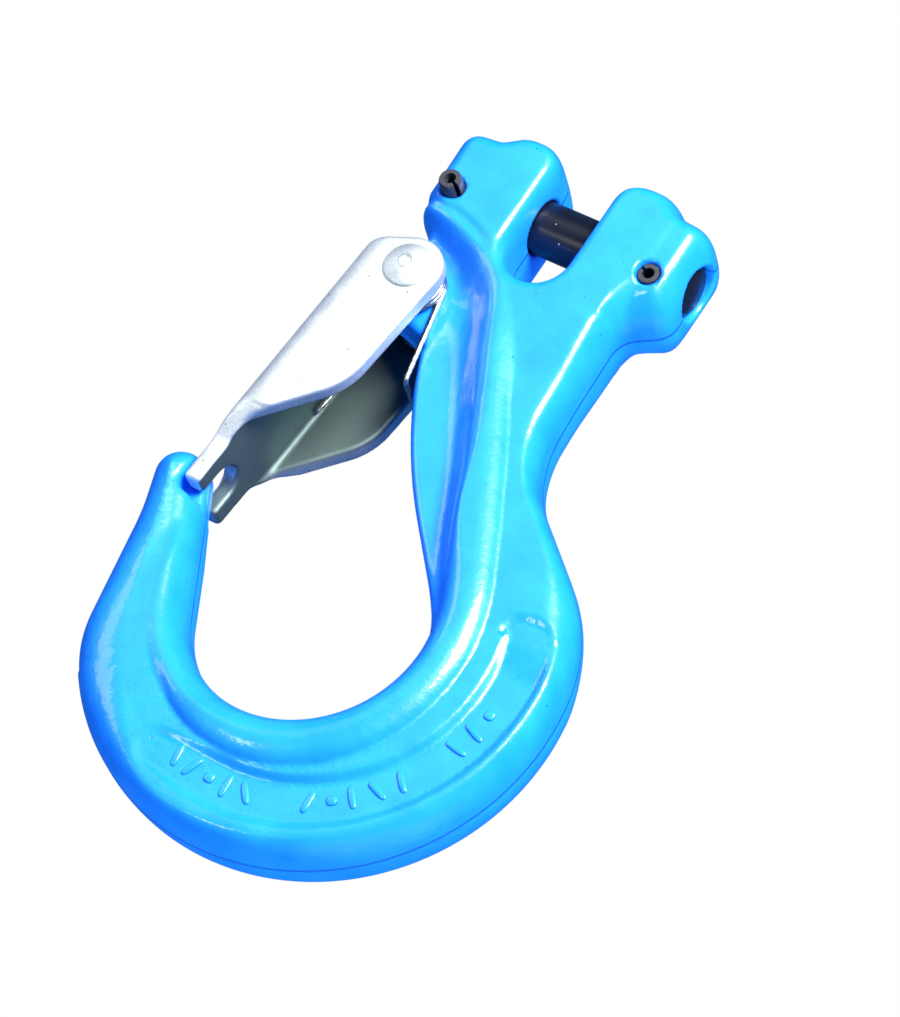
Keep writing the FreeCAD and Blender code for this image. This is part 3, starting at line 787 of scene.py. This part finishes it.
# %% Blue powder coat
coat, tree, output = new_material("blue_powder_coat")
in_mm = in_millimetres(tree)
tone = two_tones(tree, noise(tree, in_mm, 0.16, 3.0), 0.3, "#1278F2", 0.7, "#1A83F8")
pits = flecks(tree, in_mm, 0.42, 0.03, 0.075, share=0.2)
normal = add_node(tree, "NewGeometry").outputs["Normal"]
off_line = size_along(tree, in_mm, "Y")
limits = {"Value": off_line, "From Min": 0.1, "From Max": 0.45, "To Min": 1.0, "To Max": 0.0}
line = add_node(tree, "MapRange", limits, interpolation_type="SMOOTHSTEP").outputs[0]
on_side = fade(tree, size_along(tree, normal, "Y"), 0.25, 0.5)
parting = add_node(tree, "Math", {0: line, 1: on_side}, operation="MULTIPLY").outputs[0]
line_shade = add_node(tree, "Math", {0: parting, 1: 0.6}, operation="MULTIPLY").outputs[0]
dark = add_node(tree, "Math", {0: pits, 1: line_shade}, operation="MAXIMUM").outputs[0]
fine, wave = noise(tree, in_mm, 2.2, 2.0), noise(tree, in_mm, 0.55, 2.0)
skin = add_node(tree, "Math", {0: fine, 1: 0.18, 2: wave}, operation="MULTIPLY_ADD").outputs[0]
skin = add_node(tree, "Math", {0: pits, 1: -1.2, 2: skin}, operation="MULTIPLY_ADD").outputs[0]
skin = add_node(tree, "Math", {0: parting, 1: 2.5, 2: skin}, operation="MULTIPLY_ADD").outputs[0]
bump = add_node(tree, "Bump", {"Height": skin, "Strength": 0.35, "Distance": 0.00022}).outputs[0]
shader = add_node(tree, "BsdfPrincipled", {
    "Base Color": mixed(tree, dark, tone, "#07306E"), "Roughness": 0.35, "Specular IOR Level": 0.3,
    "Coat Weight": 0.5, "Coat Roughness": 0.07, "Normal": bump, "Coat Normal": bump,
})
tree.links.new(shader.outputs[0], output.inputs[0])
for piece in (hook_forging, raised_marks):
    piece.data.materials.append(coat)

# %% [markdown]
# ### Zinc plated steel
#
# The latch and its rivet are barrel plated. The deposit is fine and dull, with a pale bloom, and tumbling
# leaves tiny dents and specks all over. The faces inside the folded channel that look at each other, less
# than 8.2 mm from the middle, are turned a darker grey: painted shade for the shadowed inside of the channel.

# %% Zinc plated steel
zinc, tree, output = new_material("zinc_plated_steel")
in_mm = in_millimetres(tree)
grain = noise(tree, in_mm, 3.2, 4.0, roughness=0.7)
bloom = noise(tree, in_mm, 0.22, 3.0)
clouds = add_node(tree, "Math", {0: bloom, 1: 0.6, 2: grain}, operation="MULTIPLY_ADD").outputs[0]
clouds = add_node(tree, "Math", {0: clouds, 1: 0.62}, operation="MULTIPLY").outputs[0]
tone = two_tones(tree, clouds, 0.3, "#B4BAB4", 0.68, "#ECEFE8")
specks = flecks(tree, in_mm, 0.7, 0.05, 0.14, share=0.28)
facing = add_node(tree, "SeparateXYZ", {0: add_node(tree, "NewGeometry").outputs["Normal"]})
across = add_node(tree, "SeparateXYZ", {0: in_mm}).outputs["Y"]
side = add_node(tree, "Math", {0: across}, operation="SIGN").outputs[0]
outward = add_node(tree, "Math", {0: side, 1: facing.outputs["Y"]}, operation="MULTIPLY").outputs[0]
inward = add_node(tree, "Math", {0: facing.outputs["X"], 1: outward}, operation="SUBTRACT").outputs[0]
inner = add_node(tree, "MapRange", {"Value": inward, "From Min": 0.45, "From Max": 0.8}).outputs[0]
within = fade(tree, size_along(tree, in_mm, "Y"), 8.2, 8.8)
# painted shade: the inward facing faces inside the channel are turned darker grey, where shade falls
painted_channel_shade = add_node(tree, "Math", {0: inner, 1: within}, operation="MULTIPLY").outputs[0]
tone = mixed(tree, specks, mixed(tree, painted_channel_shade, tone, "#6B7C78"), "#4A504F")
height = add_node(tree, "Math", {0: specks, 1: -0.8, 2: grain}, operation="MULTIPLY_ADD").outputs[0]
bump = add_node(tree, "Bump", {"Height": height, "Strength": 0.4, "Distance": 0.0001}).outputs[0]
shader = add_node(tree, "BsdfPrincipled", {
    "Base Color": tone, "Metallic": 1.0, "Roughness": 0.58, "Normal": bump,
})
tree.links.new(shader.outputs[0], output.inputs[0])
for piece in (latch_plate, rivet):
    piece.data.materials.append(zinc)

# %% [markdown]
# ### Black oxide steel
#
# The load pin and the spring pins are hardened and blackened, then oiled. Turning leaves faint streaks round
# the load pin, and handling leaves a little pale dust. Past the faces of the ears, 8.7 mm out, hammering has
# worn the spring pins slightly paler.

# %% Black oxide steel
black, tree, output = new_material("black_oxide_steel")
in_mm = in_millimetres(tree)
dust = flecks(tree, in_mm, 1.1, 0.08, 0.16, share=0.14)
stretched = add_node(tree, "VectorMath", {0: in_mm, 1: (0.1, 1.6, 1.6)}, operation="MULTIPLY").outputs[0]
tone = two_tones(tree, noise(tree, stretched, 0.8, 4.0), 0.35, "#06080E", 0.75, "#10141D")
beyond = {"Value": size_along(tree, in_mm, "Y"), "From Min": 8.35, "From Max": 8.7, "To Max": 0.06}
worn = add_node(tree, "MapRange", beyond).outputs[0]
pale = add_node(tree, "Math", {0: worn, 1: dust}, operation="MAXIMUM").outputs[0]
shader = add_node(tree, "BsdfPrincipled", {
    "Base Color": mixed(tree, pale, tone, "#B4B6B8"), "Roughness": 0.3, "Specular IOR Level": 0.35,
})
tree.links.new(shader.outputs[0], output.inputs[0])
for piece in (load_pin, *spring_pins):
    piece.data.materials.append(black)

# %% [markdown]
# ### Bright spring wire
#
# Hard drawn stainless wire stays bright, and its fine drawing scratches catch the light unevenly.

# %% Bright spring wire
wire, tree, output = new_material("bright_spring_wire")
scratch = noise(tree, in_millimetres(tree), 2.5, 3.0)
rough = add_node(tree, "MapRange", {"Value": scratch, "To Min": 0.2, "To Max": 0.4}).outputs[0]
tone = two_tones(tree, scratch, 0.3, "#8F8D84", 0.7, "#C6C4BA")
shader = add_node(tree, "BsdfPrincipled", {"Base Color": tone, "Metallic": 1.0, "Roughness": rough})
tree.links.new(shader.outputs[0], output.inputs[0])
for piece in spring_halves:
    piece.data.materials.append(wire)

# %% [markdown]
# ## Studio
#
# The hook lies in a bright studio with a plain white surround. The surround is a glowing dome that only the
# camera sees, so it doesn't wash out the gloss. A dim blue world stands in for the light that the coat and
# the room throw back, and soft boxes do the rest: a key from the upper right, weak ones above and on the
# left, a narrow one for the glare on the bowl, and a wide fill from below that lights without being mirrored.

# %% World and backdrop
world = bpy.data.worlds.new("studio")
world.use_nodes = True
world.node_tree.nodes.clear()
sky = add_node(world.node_tree, "OutputWorld")
glow = add_node(world.node_tree, "Background", {"Color": linear("#2F5FA8"), "Strength": 1.0})
world.node_tree.links.new(glow.outputs[0], sky.inputs[0])
bpy.context.scene.world = world
bpy.context.scene.view_settings.view_transform = "Standard"

white, tree, output = new_material("white_backdrop")
glow = add_node(tree, "Emission", {"Color": (1, 1, 1, 1), "Strength": 1.0})
tree.links.new(glow.outputs[0], output.inputs[0])
DOME_RADIUS_MM = 4000
DOME_RINGS, DOME_SPOKES = 32, 64
around = np.linspace(0, 2 * np.pi, DOME_SPOKES, endpoint=False)
rise = np.linspace(-np.pi / 2, np.pi / 2, DOME_RINGS + 2)[1:-1, None]
dome_points = np.stack([
    np.cos(rise) * np.cos(around), np.cos(rise) * np.sin(around), np.sin(rise) * np.ones(DOME_SPOKES),
], -1).reshape(-1, 3)
dome_points = np.vstack([dome_points, [(0, 0, -1), (0, 0, 1)]]) * DOME_RADIUS_MM
backdrop = new_mesh("white_dome", dome_points, ring_faces(DOME_RINGS, DOME_SPOKES, turned=True))
backdrop.data.materials.append(white)
backdrop.visible_diffuse = False
backdrop.visible_glossy = False
backdrop.visible_transmission = False
backdrop.visible_shadow = False

# %% Soft boxes
AWAY = VIEW_FROM / np.linalg.norm(VIEW_FROM)
SIDE = np.cross(VIEW_UP, AWAY)
MIDDLE = np.array([0.004, 0, -0.055])


def softbox(name, right, up, toward, wide, tall, power):
    """A rectangular light, placed in metres to the right, up and toward the camera from the hook's middle."""
    light = bpy.data.lights.new(name, "AREA")
    light.shape = "RECTANGLE"
    light.size, light.size_y = wide, tall
    light.energy = power
    lamp = bpy.data.objects.new(name, light)
    bpy.context.scene.collection.objects.link(lamp)
    spot = MIDDLE + right * SIDE + up * VIEW_UP + toward * AWAY
    pose = np.eye(4)
    pose[:3, :3] = aim_camera(spot, MIDDLE, VIEW_UP)
    pose[:3, 3] = spot
    lamp.matrix_world = Matrix(pose.tolist())
    return lamp


softbox("key", 0.45, 0.48, 0.6, 0.4, 0.4, 32)
softbox("overhead", -0.25, 0.85, 0.32, 0.8, 0.5, 1.1)
softbox("left", -0.75, 0.5, 0.1, 0.3, 0.6, 2.4)
fill = softbox("below", 0.1, -0.75, 0.16, 0.8, 0.35, 10)
fill.visible_glossy = False
softbox("window", -0.55, 0.16, 0.62, 0.12, 0.2, 1.0)
